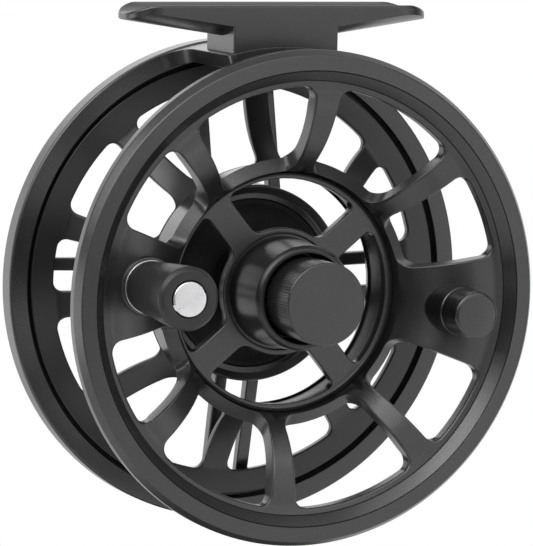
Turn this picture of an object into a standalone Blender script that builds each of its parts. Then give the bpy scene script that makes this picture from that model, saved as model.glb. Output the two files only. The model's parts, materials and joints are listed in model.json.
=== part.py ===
# Fly reel with a ported spool, a half frame, a disc drag and a rod foot.
# Sizes in the code are millimetres, and each finished piece is scaled to metres. +Z is up.
# The origin is the middle of the foot's top, where the rod seat bears.
# The reel turns about a line along Y; the handle side faces -Y and the drag knob +Y.

import bpy
import bmesh
from math import asin, atan2, cos, hypot, pi, radians, sin, sqrt
from mathutils import Vector

MM = 0.001
WELD = 0.001
GAP = 0.3

# Where the reel's axis lies below the foot, and the plane that depths are counted from
AXIS_DROP = 53.3
FACE_Y = -19.15
SPOOL_TURN = 5.5

# Turning steps for large rims, the drum, hubs, small pieces and pins
RIM_STEPS = 48
DRUM_STEPS = 32
HUB_STEPS = 24
SMALL_STEPS = 16
PIN_STEPS = 12

# Spool windows, as inner and outer radius, and the spokes between them
SPOKE_COUNT = 8
FRONT_WINDOW = (22.9, 39.4)
FRONT_CORNER = 2.4
FRONT_WIDE_ANGLE = 16.0
SPOKE_HALF = (1.75, 2.45)
SPOKE_HALF_AT = (25.0, 37.0)
REAR_WINDOW = (21.4, 37.2)
REAR_CORNER = 2.0
REAR_WIDE_ANGLE = 16.2
REAR_SPOKE_HALF = 2.45
SMALL_WINDOW = (28.5, 37.2)
SMALL_CORNER = 1.8
SMALL_WINDOW_ANGLE = 7.9
HUB_SPOKES = 4
HUB_WINDOW = (11.9, 21.2)
HUB_CORNER = 1.6
HUB_SPOKE_HALF = 2.8

# Spool sections as (radius, depth), where a curve is a start, a pull and an end
RIM_R = 46.0
BOWL_CURVE = ((38.4, 1.0), (29.45, 1.0), (23.4, 8.9))
BOWL_BACK_CURVE = ((25.5, 11.6), (29.2, 5.9), (36.0, 4.9))
REAR_R = 41.6
REAR_FRONT_CURVE = ((36.4, 33.9), (26.25, 29.7), (23.0, 22.3))
REAR_BACK_CURVE = ((22.9, 24.3), (29.0, 33.8), (37.2, 35.6))
HUB_DISC_R = 21.95
HUB_DISC = (12.0, 14.3)
DRUM_BORE = 22.3
DRUM_LIP_R = 21.5

# Handle, counterweight and release knob
HANDLE_R = 31.3
HANDLE_PAD_R = 5.4
HANDLE_PAD_Y = 1.0
HANDLE_BORE_R = 2.4
FITTING_HOLE_R = 1.7
RELEASE_KNOB_R = 7.7
RELEASE_KNOB_STEPS = 48
KNURL = 0.25

# Frame
RING_R = 46.0
RING_IN = 43.0
RING_FRONT = 33.6
RING_BACK = 39.2
RING_LIP_R = 40.2
BRIDGE_HALF = 11.7
BRIDGE_TOP = 45.7
BRIDGE_FRONT = 12.6
BRIDGE_BACK = 36.6
BRIDGE_CORNER = 1.2
BRIDGE_FILLET = 5.0
ARM_HALF = 1.15
ARM_HALF_SPACING = 3.3
TOP_ARM_HALF_SPACING = 6.9
ARM_ROOT = (17.3, 31.4, 34.0)
ARM_END = (39.8, 37.3, 39.2)

# Foot
FOOT_HALF_LENGTH = 30.2
FOOT_HALF_DEPTH = 6.55
FOOT_STRAIGHT = 23.8
FOOT_CORNER = 5.4
PEDESTAL_HALF = 10.56
PEDESTAL_SEAT_R = 46.05
PEDESTAL_ROOT = -3.0
FOOT_FACE_ROOT = 3.9
FOOT_FACE_TIP = 0.7
FOOT_BULGE = 2.3
FOOT_DISH = 1.1
FOOT_LAND = 1.5
FOOT_CHAMFER = 0.35
FOOT_SCREW_X = 6.0
FOOT_HOLE_R = 1.8

# Drag: the stacked discs start at a depth and keep the gap between them
STACK_FRONT = 30.5
WASHER_THICKNESS = 1.2
ROTOR_THICKNESS = 1.4
PLATE_THICKNESS = 1.1
WASHER = (5.0, 13.0)
ROTOR_R = 13.4
SLEEVE = (3.3, 4.2)
THRUST_PINS = 3
THRUST_PIN_R = 1.2
THRUST_PIN_CIRCLE = 8.5
THRUST_PIN_SPAN = (36.6, 41.3)
KNOB_LOBES = 10
KNOB_SCALLOP = 1.0

# Click
GEAR_TEETH = 24
GEAR_ROOT = 9.6
GEAR_TIP = 10.6
GEAR_SPAN = (28.5, 29.9)
PAWL_CIRCLE = 13.6
PAWL_ANGLE = 66.0
PAWL_VALLEY = 7
PAWL_LIFT = 8.0
PAWL_BOSS_R = 1.7
PAWL_HALF = 0.75
PIVOT_R = 0.7


# Scene helpers


def clear_scene():
    for item in list(bpy.data.objects):
        bpy.data.objects.remove(item, do_unlink=True)


def finish(name, colour, roughness, metallic):
    material = bpy.data.materials.new(name)
    material.use_nodes = True
    shader = material.node_tree.nodes["Principled BSDF"]
    shader.inputs["Base Color"].default_value = (*colour, 1.0)
    shader.inputs["Roughness"].default_value = roughness
    shader.inputs["Metallic"].default_value = metallic
    return material


def axis_empty(name, parent=None, location=(0, 0, 0), turn=0.0):
    empty = bpy.data.objects.new(name, None)
    bpy.context.scene.collection.objects.link(empty)
    empty.parent = parent
    empty.location = Vector(location) * MM
    empty.rotation_euler = (0, radians(turn), 0)
    return empty


def make_part(name, bm, material, parent):
    bmesh.ops.remove_doubles(bm, verts=bm.verts, dist=WELD)
    bmesh.ops.recalc_face_normals(bm, faces=bm.faces)
    bmesh.ops.scale(bm, vec=(MM, MM, MM), verts=bm.verts)
    mesh = bpy.data.meshes.new(name)
    bm.to_mesh(mesh)
    bm.free()
    mesh.shade_smooth()
    mesh.set_sharp_from_angle(angle=radians(30))
    mesh.materials.append(material)
    part = bpy.data.objects.new(name, mesh)
    bpy.context.scene.collection.objects.link(part)
    part.parent = parent
    return part


def make_form(name, bm, parent):
    # A cutter or an added shape, which isn't a piece of its own
    form = make_part(name, bm, finish(name, (0.5, 0.5, 0.5), 0.5, 0.0), parent)
    form.hide_render = True
    form.display_type = "WIRE"
    return form


def combine(part, form, operation):
    boolean = part.modifiers.new(form.name, "BOOLEAN")
    boolean.object = form
    boolean.operation = operation
    boolean.solver = "EXACT"


# Shape helpers, in reel coordinates: X across, Y depth, Z up


def polar(radius, degrees):
    return (radius * cos(radians(degrees)), radius * sin(radians(degrees)))


def bend(curve, steps):
    # Points along a smooth curve from its start to its end, drawn towards its pull
    start, pull, end = (Vector(point) for point in curve)
    places = [i / steps for i in range(steps + 1)]
    points = [start * (1 - t) ** 2 + pull * 2 * t * (1 - t) + end * t * t for t in places]
    return [(p.x, p.y) for p in points]


def tube(inner, outer, low, high):
    return [(inner, low), (outer, low), (outer, high), (inner, high)]


def rod(radius, low, high):
    return [(0, low), (radius, low), (radius, high), (0, high)]


def add_turned(bm, profile, steps, centre=(0.0, 0.0)):
    # Spins a section about a line along Y; a section that starts and ends on it stays open there
    cx, cz = centre
    ring = [bm.verts.new((cx + r, y, cz)) for r, y in profile]
    pairs = list(zip(ring, ring[1:]))
    if profile[0][0] > 0 or profile[-1][0] > 0:
        pairs.append((ring[-1], ring[0]))
    edges = [bm.edges.new(pair) for pair in pairs]
    bmesh.ops.spin(bm, geom=ring + edges, cent=(cx, 0, cz), axis=(0, 1, 0),
                   angle=2 * pi, steps=steps, use_merge=True)
    return bm


def turned(profile, steps, centre=(0.0, 0.0)):
    return add_turned(bmesh.new(), profile, steps, centre)


def add_upright(bm, profile, x):
    # Turns a section of (radius, height) about a vertical line through the foot's middle
    column = [bm.verts.new((x + r, 0, z)) for r, z in profile]
    edges = [bm.edges.new(pair) for pair in zip(column, column[1:])]
    bmesh.ops.spin(bm, geom=column + edges, cent=(x, 0, 0), axis=(0, 0, 1),
                   angle=2 * pi, steps=SMALL_STEPS, use_merge=True)
    return bm


def add_prism(bm, outline, low, high, upright=False):
    place = (lambda a, b: (a, b, low)) if upright else (lambda a, b: (a, low, b))
    face = bm.faces.new([bm.verts.new(place(a, b)) for a, b in outline])
    grown = bmesh.ops.extrude_face_region(bm, geom=[face])
    moved = [v for v in grown["geom"] if isinstance(v, bmesh.types.BMVert)]
    rise = (0, 0, high - low) if upright else (0, high - low, 0)
    bmesh.ops.translate(bm, verts=moved, vec=rise)
    return bm


def ripple(bm, rule):
    # Moves each point in or out from the axis by a rule of its angle, radius and depth
    for v in bm.verts:
        radius = hypot(v.co.x, v.co.z)
        if radius > WELD:
            scale = rule(atan2(v.co.z, v.co.x), radius, v.co.y) / radius
            v.co.x *= scale
            v.co.z *= scale


def window_outline(radii, start, stop, corner, arc_steps=4):
    # Sector with rounded corners; start and stop give a side's angle at (radius, inset)
    r_in, r_out = radii
    quarter = [radians(t) for t in (0, 30, 60, 90)]
    inner = [(r_in + corner * (1 - cos(t)), corner * (1 - sin(t))) for t in quarter]
    outer = [(r_out - corner * (1 - sin(t)), corner * (1 - cos(t))) for t in quarter]
    side = inner + outer

    def arc(radius, a, b):
        return [(radius, a + (b - a) * i / arc_steps) for i in range(1, arc_steps)]

    near = [(r, start(r, inset)) for r, inset in side]
    far = [(r, stop(r, inset)) for r, inset in reversed(side)]
    points = near + arc(r_out, near[-1][1], far[0][1]) + far + arc(r_in, far[-1][1], near[0][1])
    return [(r * cos(a), r * sin(a)) for r, a in points]


def spoke_side(degrees, half_width, sign):
    # Side of a spoke: sign +1 is counter-clockwise of the spoke's middle
    return lambda r, inset: radians(degrees) + sign * asin((half_width(r) + inset) / r)


def radial_side(degrees, sign):
    # Side along a radius: the window lies on the sign side of it
    return lambda r, inset: radians(degrees) + sign * inset / r


def even(half_width):
    return lambda r: half_width


def tapered(r):
    low, high = SPOKE_HALF
    start, stop = SPOKE_HALF_AT
    return low + (high - low) * (r - start) / (stop - start)


def spoke_windows(radii, half_width, wide_angle, corner):
    # Outlines between the spokes, of which those at 0 and 180 degrees are wide
    pitch = 360 / SPOKE_COUNT
    for k in range(SPOKE_COUNT):
        first, second = k * pitch, (k + 1) * pitch
        wide_first = k % (SPOKE_COUNT // 2) == 0
        wide_second = (k + 1) % (SPOKE_COUNT // 2) == 0
        start = radial_side(first + wide_angle, 1) if wide_first else spoke_side(first, half_width, 1)
        stop = radial_side(second - wide_angle, -1) if wide_second else spoke_side(second, half_width, -1)
        yield window_outline(radii, start, stop, corner)


# Spool: front flange, hub, arbor and rear flange are one machined piece on the real reel


def front_flange(material, axis):
    front = [(RIM_R, 0), (45.4, -1.1), (42.3, -1.5), (40.2, 0.5)] + bend(BOWL_CURVE, 5)
    back = bend(BOWL_BACK_CURVE, 3) + [(39.4, 3.3), (44.0, 3.3), (RIM_R, 2.3)]
    part = make_part("spool_front_flange", turned(front + back, RIM_STEPS), material, axis)
    pad = turned(rod(HANDLE_PAD_R, HANDLE_PAD_Y, 12), SMALL_STEPS, (-HANDLE_R, 0))
    pad_form = make_form("handle_pad_form", pad, axis)
    behind = [(r, y - 0.5) for r, y in back[:5]] + [(39.4, 20), (24, 20), (24, 9.6)]
    combine(pad_form, make_form("handle_pad_trim", turned(behind, RIM_STEPS), axis), "DIFFERENCE")
    combine(part, pad_form, "UNION")
    cutter = bmesh.new()
    for outline in spoke_windows(FRONT_WINDOW, tapered, FRONT_WIDE_ANGLE, FRONT_CORNER):
        add_prism(cutter, outline, -6, 20)
    above = [(0, -6), (HANDLE_PAD_R, -6), (HANDLE_PAD_R, HANDLE_PAD_Y)]
    bore = [(HANDLE_BORE_R, HANDLE_PAD_Y), (HANDLE_BORE_R, 20), (0, 20)]
    add_turned(cutter, above + bore, SMALL_STEPS, (-HANDLE_R, 0))
    screw_hole = [(0, -6), (FITTING_HOLE_R, -6), (FITTING_HOLE_R, 5.0), (2.7, 5.4), (2.7, 20), (0, 20)]
    add_turned(cutter, screw_hole, SMALL_STEPS, (HANDLE_R, 0))
    combine(part, make_form("front_window_cutter", cutter, axis), "DIFFERENCE")


def hub(material, axis):
    disc_front, disc_back = HUB_DISC
    groove = [(HUB_DISC_R, disc_front), (11.0, disc_front), (10.8, 12.6), (10.4, 12.6)]
    boss = [(9.8, 1.5), (9.2, 0.7), (8.4, 0.7)]
    bore = [(8.4, 9.0), (5.3, 9.0), (5.3, 19), (6.6, 19), (6.6, 25.9), (8.2, 25.9)]
    section = groove + boss + bore + [(8.2, disc_back), (HUB_DISC_R, disc_back)]
    part = make_part("spool_hub", turned(section, HUB_STEPS), material, axis)
    cutter = bmesh.new()
    pitch = 360 / HUB_SPOKES
    for k in range(HUB_SPOKES):
        start = spoke_side((k + 0.5) * pitch, even(HUB_SPOKE_HALF), 1)
        stop = spoke_side((k + 1.5) * pitch, even(HUB_SPOKE_HALF), -1)
        outline = window_outline(HUB_WINDOW, start, stop, HUB_CORNER, 7)
        add_prism(cutter, outline, disc_front - 0.5, disc_back + 0.7)
    combine(part, make_form("hub_window_cutter", cutter, axis), "DIFFERENCE")


def arbor(material, axis):
    # The drum has a lip that the hub's disc seats against
    seat = HUB_DISC[1] + GAP
    outside = [(23.2, 9.4), (24.2, 10.8), (23.2, 21.9), (22.5, 21.9)]
    lip = [(DRUM_BORE, seat + 2.0), (DRUM_LIP_R, seat + 1.6), (DRUM_LIP_R, seat), (DRUM_BORE, seat)]
    drum = outside + lip + [(DRUM_BORE, 12.7), (22.8, 9.5)]
    make_part("spool_arbor", turned(drum, DRUM_STEPS), material, axis)


def rear_flange(material, axis):
    channel = [(REAR_R, 34.1)] + bend(REAR_FRONT_CURVE, 5)
    back = [(22.5, 22.3), (22.5, 23.2)] + bend(REAR_BACK_CURVE, 4) + [(REAR_R, 35.9)]
    part = make_part("spool_rear_flange", turned(channel + back, RIM_STEPS), material, axis)
    outlines = list(spoke_windows(REAR_WINDOW, even(REAR_SPOKE_HALF), REAR_WIDE_ANGLE, REAR_CORNER))
    for middle in (0, 180):
        start = radial_side(middle - SMALL_WINDOW_ANGLE, 1)
        stop = radial_side(middle + SMALL_WINDOW_ANGLE, -1)
        outlines.append(window_outline(SMALL_WINDOW, start, stop, SMALL_CORNER, 2))
    cutter = bmesh.new()
    for outline in outlines:
        add_prism(cutter, outline, 20, 40)
    combine(part, make_form("rear_window_cutter", cutter, axis), "DIFFERENCE")


def spool_fittings(steel, black, axis):
    place = (HANDLE_R, 0)
    post = [(0, -7.3), (3.7, -7.3), (4.45, -6.6), (4.45, -0.2), (4.95, 0.2), (4.95, 9)]
    bore = [(FITTING_HOLE_R, 9), (FITTING_HOLE_R, -1), (0, -1)]
    part = make_part("counterweight", turned(post + bore, SMALL_STEPS, place), black, axis)
    bowl = [(r, y - 0.4) for r, y in bend(BOWL_CURVE, 5)] + [(23.4, 20), (38.4, 20)]
    combine(part, make_form("counterweight_trim", turned(bowl, RIM_STEPS), axis), "DIFFERENCE")
    screw = [(0, -0.6), (1.4, -0.6), (1.4, 5.3), (2.4, 5.8), (2.4, 6.3), (0, 6.3)]
    make_part("counterweight_screw", turned(screw, PIN_STEPS, place), steel, axis)
    make_part("spool_bearing", turned(tube(3.3, 5.0, 9.3, 12.3), SMALL_STEPS), steel, axis)
    make_part("one_way_clutch", turned(tube(4.5, 6.3, 19.4, 25.4), SMALL_STEPS), steel, axis)


# Handle: the knob turns on a bushing that a shoulder screw clamps to the spool


def handle(plastic, steel, brass, axis):
    outside = [(3.9, -18.2), (5.1, -18.2), (5.8, -17.4), (5.7, -14), (5.0, -3), (4.87, -0.4), (4.5, 0)]
    bore = [(3.3, 0), (3.3, -16.4), (3.9, -16.4)]
    make_part("handle_knob", turned(outside + bore, SMALL_STEPS), plastic, axis)
    make_part("handle_washer", turned(tube(HANDLE_BORE_R, 4.9, 0.3, 0.7), SMALL_STEPS), steel, axis)
    make_part("handle_bushing", turned(tube(2.3, 3.0, -16.0, 0), SMALL_STEPS), brass, axis)
    screw = [(0, -18.5), (3.0, -18.5), (3.5, -18.1), (3.5, -16.7), (2.0, -16.7), (2.0, 6.3), (0, 6.3)]
    make_part("handle_screw", turned(screw, SMALL_STEPS), steel, axis)


# Frame: ring with its bridge to the foot, and the back with slotted arms and the drag cup


def ring(material, axis):
    outside = [(RING_R - 0.3, RING_FRONT), (RING_R, RING_FRONT + 0.3), (RING_R, 37.6), (44.6, RING_BACK)]
    inside = [(RING_LIP_R, RING_BACK), (RING_LIP_R, 37.2), (RING_IN, 36.8), (RING_IN, RING_FRONT)]
    part = make_part("frame_ring", turned(outside + inside, RIM_STEPS), material, axis)
    shell = turned(tube(RING_IN, BRIDGE_TOP, BRIDGE_FRONT, BRIDGE_BACK), RIM_STEPS)
    form = make_form("bridge_form", shell, axis)
    plan = add_prism(bmesh.new(), bridge_outline(), 30, 50, True)
    combine(form, make_form("bridge_plan", plan, axis), "INTERSECT")
    combine(part, form, "UNION")
    holes = bmesh.new()
    bore = [(0, -13), (3.0, -13), (3.0, -9.4), (FOOT_HOLE_R, -9.4), (FOOT_HOLE_R, -5), (0, -5)]
    for side in (-1, 1):
        add_upright(holes, bore, side * FOOT_SCREW_X)
    combine(part, make_form("bridge_hole_cutter", holes, None), "DIFFERENCE")


def bridge_outline():
    # Plan of the bridge: rounded front corners and fillets that run into the ring
    quarter = [radians(18 * i) for i in range(6)]
    half = []
    for t in quarter:
        x = BRIDGE_HALF - BRIDGE_CORNER * (1 - sin(t))
        half.append((x, BRIDGE_FRONT - 1 + BRIDGE_CORNER * (1 - cos(t))))
    for t in quarter:
        x = BRIDGE_HALF + BRIDGE_FILLET * (1 - cos(t))
        half.append((x, RING_FRONT - BRIDGE_FILLET * (1 - sin(t))))
    half.append((BRIDGE_HALF + BRIDGE_FILLET, BRIDGE_BACK - 0.7))
    return half + [(-x, y) for x, y in reversed(half)]


def add_arm_bar(bm, degrees, offset):
    # One straight bar of a slotted arm, from the drag cup out and back to the ring
    along = Vector((*polar(1.0, degrees), 0))
    across = Vector((-along.y, along.x, 0))
    ends = []
    for (radius, front, back), corner in ((ARM_ROOT, 0.0), (ARM_END, ARM_HALF)):
        reach = sqrt(radius ** 2 - (abs(offset) + corner) ** 2)
        low, high = (along * reach + across * (offset + side * ARM_HALF) for side in (-1, 1))
        loop = [(low, front), (high, front), (high, back), (low, back)]
        ends.append([bm.verts.new((p.x, depth, p.y)) for p, depth in loop])
    for a, b in zip(range(4), (1, 2, 3, 0)):
        bm.faces.new((ends[0][a], ends[0][b], ends[1][b], ends[1][a]))
    bm.faces.new(ends[0])
    bm.faces.new(ends[1])


def frame_back(material, axis):
    wall = [(18.3, 25.8), (18.7, 26.2), (18.7, 31.4), (17.7, 33.8), (15.6, 36.8), (13.4, 39.0), (12.4, 39.6)]
    boss = [(6.0, 39.6), (6.0, 43.0), (3.3, 43.0), (3.3, 38.2)]
    inside = [(13.0, 38.2), (14.1, 36.8), (14.4, 34.6), (16.2, 31.8), (16.2, 26.5), (16.9, 25.8)]
    part = make_part("frame_back", turned(wall + boss + inside, HUB_STEPS), material, axis)
    bars = bmesh.new()
    for degrees in (0, 90, 180, 270):
        spacing = TOP_ARM_HALF_SPACING if degrees == 90 else ARM_HALF_SPACING
        for side in (-1, 1):
            add_arm_bar(bars, degrees, side * spacing)
    combine(part, make_form("arm_bars", bars, axis), "UNION")
    holes = bmesh.new()
    for centre in thrust_pin_centres():
        add_turned(holes, rod(THRUST_PIN_R + GAP, 37, 41), PIN_STEPS, centre)
    combine(part, make_form("pin_hole_cutter", holes, axis), "DIFFERENCE")


def thrust_pin_centres():
    return [polar(THRUST_PIN_CIRCLE, 90 + 360 / THRUST_PINS * k) for k in range(THRUST_PINS)]


# Foot: a lofted saddle on a pedestal, held to the bridge by two screws from below


def foot_section(x):
    reach = abs(x)
    past = max(0.0, reach - FOOT_STRAIGHT)
    tip = FOOT_HALF_LENGTH - FOOT_STRAIGHT
    w = FOOT_HALF_DEPTH - FOOT_CORNER * (1 - sqrt(max(0.0, 1 - (past / tip) ** 2)))
    slope = max(0.0, (reach - PEDESTAL_HALF) / (FOOT_HALF_LENGTH - PEDESTAL_HALF))
    face = FOOT_FACE_ROOT + (FOOT_FACE_TIP - FOOT_FACE_ROOT) * slope
    dip = w - FOOT_CHAMFER - FOOT_LAND * w / FOOT_HALF_DEPTH

    def under(y):
        return (y, -face - FOOT_BULGE * (1 - (y / FOOT_HALF_DEPTH) ** 2))

    half = [under(w), (w, -FOOT_CHAMFER), (w - FOOT_CHAMFER, 0), (dip, 0), (dip / 2, -0.75 * FOOT_DISH)]
    mirrored = [(-y, z) for y, z in reversed(half)]
    low = [under(w * f) for f in (-0.75, -0.4, 0, 0.4, 0.75)]
    return half + [(0, -FOOT_DISH)] + mirrored + low


def foot(material):
    bm = bmesh.new()
    tips = [FOOT_STRAIGHT + (FOOT_HALF_LENGTH - FOOT_STRAIGHT) * sin(radians(t)) for t in (0, 30, 60, 90)]
    right = [PEDESTAL_HALF, (PEDESTAL_HALF + FOOT_STRAIGHT) / 2] + tips
    stations = [-x for x in reversed(right)] + right
    loops = [[bm.verts.new((x, y, z)) for y, z in foot_section(x)] for x in stations]
    count = len(loops[0])
    for a, b in zip(loops, loops[1:]):
        for i in range(count):
            j = (i + 1) % count
            bm.faces.new((a[i], a[j], b[j], b[i]))
    bm.faces.new(loops[0])
    bm.faces.new(loops[-1])
    part = make_part("reel_foot", bm, material, None)
    steps = 10
    across = [PEDESTAL_HALF * (2 * i / steps - 1) for i in range(steps + 1)]
    seat = [(x, sqrt(PEDESTAL_SEAT_R ** 2 - x * x) - AXIS_DROP) for x in across]
    outline = seat + [(PEDESTAL_HALF, PEDESTAL_ROOT), (-PEDESTAL_HALF, PEDESTAL_ROOT)]
    block = add_prism(bmesh.new(), outline, -FOOT_HALF_DEPTH, FOOT_HALF_DEPTH)
    combine(part, make_form("pedestal_form", block, None), "UNION")
    holes = bmesh.new()
    for side in (-1, 1):
        add_upright(holes, rod(FOOT_HOLE_R, -9, -2.6), side * FOOT_SCREW_X)
    combine(part, make_form("foot_hole_cutter", holes, None), "DIFFERENCE")


def foot_screws(material):
    head = [(0, -10.9), (2.4, -10.9), (2.7, -10.6), (2.7, -9.7)]
    shank = [(FOOT_HOLE_R - GAP, -9.7), (FOOT_HOLE_R - GAP, -3.0), (0, -3.0)]
    for name, side in (("foot_screw_left", -1), ("foot_screw_right", 1)):
        make_part(name, add_upright(bmesh.new(), head + shank, side * FOOT_SCREW_X), material, None)


# Drag: cover, washers, rotor, pressure plate and thrust pins inside the cup, knob behind it


def spindle(material, axis):
    front = [(0, -4.6), (2.0, -4.6), (2.4, -4.2), (2.4, 8.6), (3.0, 9.0), (3.0, 37.9)]
    back = [(2.9, 38.0), (2.9, 42.8), (1.9, 42.8), (1.9, 39), (0, 39)]
    make_part("spindle", turned(front + back, SMALL_STEPS), material, axis)


def drag_stack(black, steel, carbon, rubber, axis):
    cover = [(5.8, 27.2), (13.4, 27.2), (14.8, 26.8), (15.9, 26.8), (15.9, 28.1), (5.8, 28.1)]
    make_part("drag_cover", turned(cover, SMALL_STEPS), black, axis)
    make_part("cover_snap_ring", turned(tube(15.1, 15.9, 26.1, 26.5), SMALL_STEPS), steel, axis)
    cord_r = 0.5
    round_cord = [polar(cord_r, 60 * k) for k in range(6)]
    seal = [(4.98 + a, 27.5 + b) for a, b in round_cord]
    make_part("drag_seal", turned(seal, SMALL_STEPS), rubber, axis)
    low = STACK_FRONT
    washer = tube(*WASHER, low, low + WASHER_THICKNESS)
    make_part("drag_washer_front", turned(washer, SMALL_STEPS), carbon, axis)
    low += WASHER_THICKNESS + GAP
    bore, sleeve_r = SLEEVE
    front = [(bore, 18.6), (sleeve_r, 18.6), (sleeve_r, low), (ROTOR_R, low)]
    rotor = front + [(ROTOR_R, low + ROTOR_THICKNESS), (bore, low + ROTOR_THICKNESS)]
    make_part("drag_rotor", turned(rotor, SMALL_STEPS), steel, axis)
    low += ROTOR_THICKNESS + GAP
    washer = tube(*WASHER, low, low + WASHER_THICKNESS)
    make_part("drag_washer_rear", turned(washer, SMALL_STEPS), carbon, axis)
    low += WASHER_THICKNESS + GAP
    plate = tube(3.5, ROTOR_R, low, low + PLATE_THICKNESS)
    make_part("pressure_plate", turned(plate, SMALL_STEPS), steel, axis)
    disc_spring = [(3.6, 36.7), (6.7, 37.3), (6.6, 37.8), (3.5, 37.2)]
    make_part("disc_spring", turned(disc_spring, SMALL_STEPS), steel, axis)
    for k, centre in enumerate(thrust_pin_centres()):
        pin = rod(THRUST_PIN_R, *THRUST_PIN_SPAN)
        make_part(f"thrust_pin_{k + 1}", turned(pin, PIN_STEPS, centre), steel, axis)


def drag_knob(black, steel, axis):
    outside = [(11.6, 40.0), (11.6, 45.5), (10.6, 46.6), (4.6, 46.6), (4.6, 44.8), (2.1, 44.8), (2.1, 43.4)]
    inside = [(6.4, 43.4), (6.4, 41.6), (9.9, 41.6), (9.9, 40.0)]
    bm = turned(outside + inside, 3 * KNOB_LOBES)
    grip_r = 10.2

    def scalloped(angle, radius, depth):
        return radius - KNOB_SCALLOP * max(0.0, cos(KNOB_LOBES * angle)) if radius > grip_r else radius

    ripple(bm, scalloped)
    make_part("drag_knob", bm, black, axis)
    screw = [(0, 39.4), (1.6, 39.4), (1.6, 45.1), (4.2, 45.1), (4.2, 45.9), (3.6, 46.4), (0, 46.4)]
    make_part("drag_knob_screw", turned(screw, SMALL_STEPS), steel, axis)


# Click: a toothed gear on the rotor's sleeve, and a sprung pawl in one of its valleys


def click_gear(material, axis):
    bm = turned(tube(SLEEVE[1] + GAP, GEAR_TIP, *GEAR_SPAN), 2 * GEAR_TEETH)
    tooth = pi / GEAR_TEETH

    def toothed(angle, radius, depth):
        valley = round(angle / tooth) % 2 == 0
        return GEAR_ROOT if valley and radius > GEAR_ROOT else radius

    ripple(bm, toothed)
    make_part("click_gear", bm, material, axis)


def click(black, steel, axis, pawl_axis):
    # The outline is the pawl seated in its valley, and its axis holds it lifted off the teeth
    pivot = Vector(polar(PAWL_CIRCLE, PAWL_ANGLE))
    valley = 360 / GEAR_TEETH * PAWL_VALLEY
    outward = Vector(polar(1.0, valley))
    across = Vector((-outward.y, outward.x))
    tip = outward * (GEAR_ROOT + GAP) - pivot
    shoulder = tip + outward * 1.3
    boss = [Vector(polar(PAWL_BOSS_R, PAWL_ANGLE + turn)) for turn in range(-150, 61, 30)]
    heel = shoulder + across * 0.9 + outward * 1.1
    outline = [tip, shoulder - across * PAWL_HALF, *boss, heel, shoulder + across * PAWL_HALF]
    part = make_part("click_pawl", add_prism(bmesh.new(), outline, *GEAR_SPAN), black, pawl_axis)
    hole = turned(rod(PIVOT_R + GAP, 28, 31), PIN_STEPS)
    combine(part, make_form("pawl_hole_cutter", hole, pawl_axis), "DIFFERENCE")
    make_part("click_pivot", turned(rod(PIVOT_R, 28.4, 30.2), PIN_STEPS, tuple(pivot)), steel, axis)


def click_spring(material, axis):
    # A leaf along the housing's wall, whose free end leans in over the pawl
    free, root, thickness = 97, 135, 0.3
    lean_in, wall_r, slope = 14.6, 15.6, 1 / 15
    steps = 8
    angles = [free + (root - free) * i / steps for i in range(steps + 1)]
    middle = [(min(wall_r, lean_in + (a - free) * slope), a) for a in angles]
    outline = [polar(r + thickness / 2, a) for r, a in middle]
    outline += [polar(r - thickness / 2, a) for r, a in reversed(middle)]
    make_part("click_spring", add_prism(bmesh.new(), outline, *GEAR_SPAN), material, axis)


# Spool release: a knurled knob screwed on the spindle's end


def release_knob(material, axis):
    cap = [(0, -8.2), (7.1, -8.2), (RELEASE_KNOB_R, -7.6), (RELEASE_KNOB_R, -0.4), (RELEASE_KNOB_R, 8.6)]
    bm = turned(cap + [(2.7, 8.6), (2.7, -5), (0, -5)], RELEASE_KNOB_STEPS)
    pitch = 2 * pi / RELEASE_KNOB_STEPS

    def knurled(angle, radius, depth):
        valley = round(angle / pitch) % 2 == 1
        on_grip = radius > RELEASE_KNOB_R - WELD and depth < 0
        return radius - KNURL if valley and on_grip else radius

    ripple(bm, knurled)
    make_part("release_knob", bm, material, axis)


def main():
    clear_scene()
    anodised = finish("anodised_black", (0.045, 0.045, 0.047), 0.42, 0.6)
    plastic = finish("handle_plastic", (0.03, 0.03, 0.032), 0.45, 0.0)
    gloss = finish("gloss_black", (0.02, 0.02, 0.022), 0.2, 0.3)
    steel = finish("bright_steel", (0.72, 0.72, 0.74), 0.25, 1.0)
    brass = finish("bearing_brass", (0.62, 0.48, 0.2), 0.35, 1.0)
    carbon = finish("drag_carbon", (0.05, 0.05, 0.055), 0.6, 0.0)
    rubber = finish("seal_rubber", (0.02, 0.02, 0.02), 0.8, 0.0)

    reel_axis = axis_empty("reel_axis", None, (0, FACE_Y, -AXIS_DROP))
    spool_axis = axis_empty("spool_axis", reel_axis, turn=SPOOL_TURN)
    handle_axis = axis_empty("handle_axis", spool_axis, (-HANDLE_R, 0, 0))
    pawl_x, pawl_z = polar(PAWL_CIRCLE, PAWL_ANGLE)
    pawl_axis = axis_empty("pawl_axis", reel_axis, (pawl_x, 0, pawl_z), PAWL_LIFT)

    front_flange(anodised, spool_axis)
    hub(anodised, spool_axis)
    arbor(anodised, spool_axis)
    rear_flange(anodised, spool_axis)
    spool_fittings(steel, gloss, spool_axis)
    handle(plastic, steel, brass, handle_axis)
    ring(anodised, reel_axis)
    frame_back(anodised, reel_axis)
    foot(anodised)
    foot_screws(steel)
    spindle(steel, reel_axis)
    drag_stack(anodised, steel, carbon, rubber, reel_axis)
    drag_knob(anodised, steel, reel_axis)
    click_gear(brass, reel_axis)
    click(gloss, steel, reel_axis, pawl_axis)
    click_spring(steel, reel_axis)
    release_knob(anodised, reel_axis)


main()
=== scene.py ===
import json
from math import asin, cos, hypot, pi, radians, sin, sqrt
import bpy
import bmesh
from mathutils import Matrix, Vector


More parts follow.
